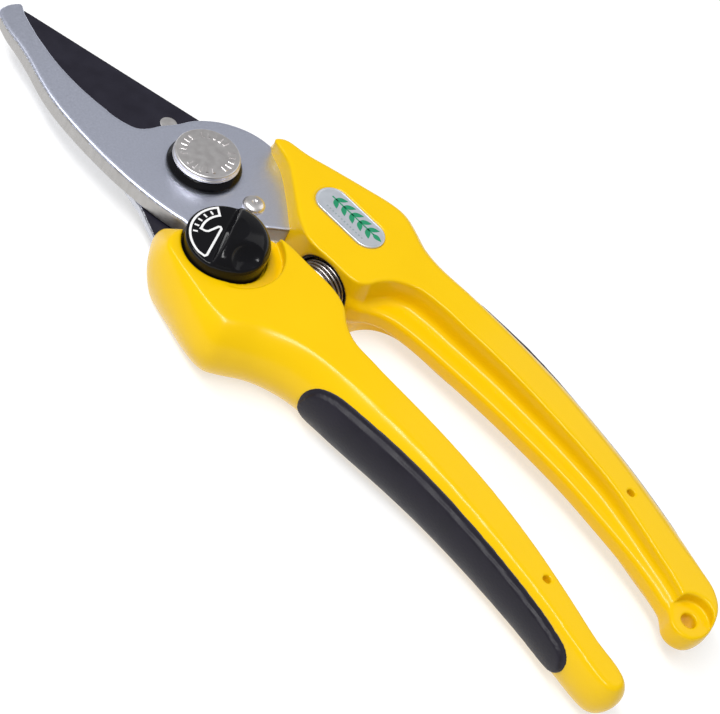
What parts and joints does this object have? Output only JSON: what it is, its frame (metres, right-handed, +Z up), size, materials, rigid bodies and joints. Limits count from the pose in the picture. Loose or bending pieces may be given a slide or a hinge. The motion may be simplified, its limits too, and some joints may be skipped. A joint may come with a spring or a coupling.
{
  "type": "bypass pruning shears",
  "caption": "Closed bypass pruning shears with a hook jaw, a coated cutting blade, curved moulded handles, a coil return spring and a thumb lock dial.",
  "frame": {"origin": "middle of the base: the shears lie flat on the undersides of their handles", "axes": "+Y towards the tips of the jaws, +X towards the hook-side handle, +Z up along the pivot bolt, from the nut to the bolt's head"},
  "size_m": [0.0638, 0.207, 0.0229],
  "materials": {
    "hook_jaw": "satin",
    "catch_rivet": "polished",
    "hook_handle": "gloss",
    "hook_grip": "matte",
    "badge": "satin",
    "hook_spring_cup": "matte",
    "pivot_bolt": "satin nickel",
    "pivot_collar": "gloss",
    "pivot_bush": "machined",
    "pivot_washer": "satin",
    "pivot_nut": "zinc plated",
    "return_spring": "drawn wire",
    "cutting_blade": "non-stick coating with a ground edge",
    "blade_rivet": "satin",
    "blade_handle": "gloss",
    "blade_grip": "matte",
    "blade_spring_cup": "matte",
    "dial_spindle": "satin",
    "dial_washer": "satin",
    "dial_clip": "spring steel",
    "lock_dial": "gloss"
  },
  "bodies": {
    "hook_side": {"hook_jaw": "hook_jaw", "catch_rivet": "catch_rivet", "hook_handle": "hook_handle", "hook_grip": "hook_grip", "badge": "badge", "hook_spring_cup": "hook_spring_cup", "pivot_bolt": "pivot_bolt", "pivot_collar": "pivot_collar", "pivot_bush": "pivot_bush", "pivot_washer": "pivot_washer", "pivot_nut": "pivot_nut", "return_spring": "return_spring"},
    "blade_side": {"cutting_blade": "cutting_blade", "blade_rivet": "blade_rivet", "blade_handle": "blade_handle", "blade_grip": "blade_grip", "blade_spring_cup": "blade_spring_cup", "dial_spindle": "dial_spindle", "dial_washer": "dial_washer", "dial_clip": "dial_clip"},
    "dial": {"lock_dial": "lock_dial"}
  },
  "joints": [
    {"name": "jaw_pivot", "type": "hinge", "parent": "hook_side", "child": "blade_side", "pos_m": [0.0014, 0.0419, 0.00905], "axis": [0, 0, -1], "range_deg": [0, 30], "stiffness_Nm_per_rad": 2, "springref_deg": 51.57, "deforming": ["return_spring"]},
    {"name": "dial_turn", "type": "hinge", "parent": "blade_side", "child": "dial", "pos_m": [-0.0139, 0.0199, 0.01755], "axis": [0, 0, 1], "range_deg": [-60, 0]}
  ]
}
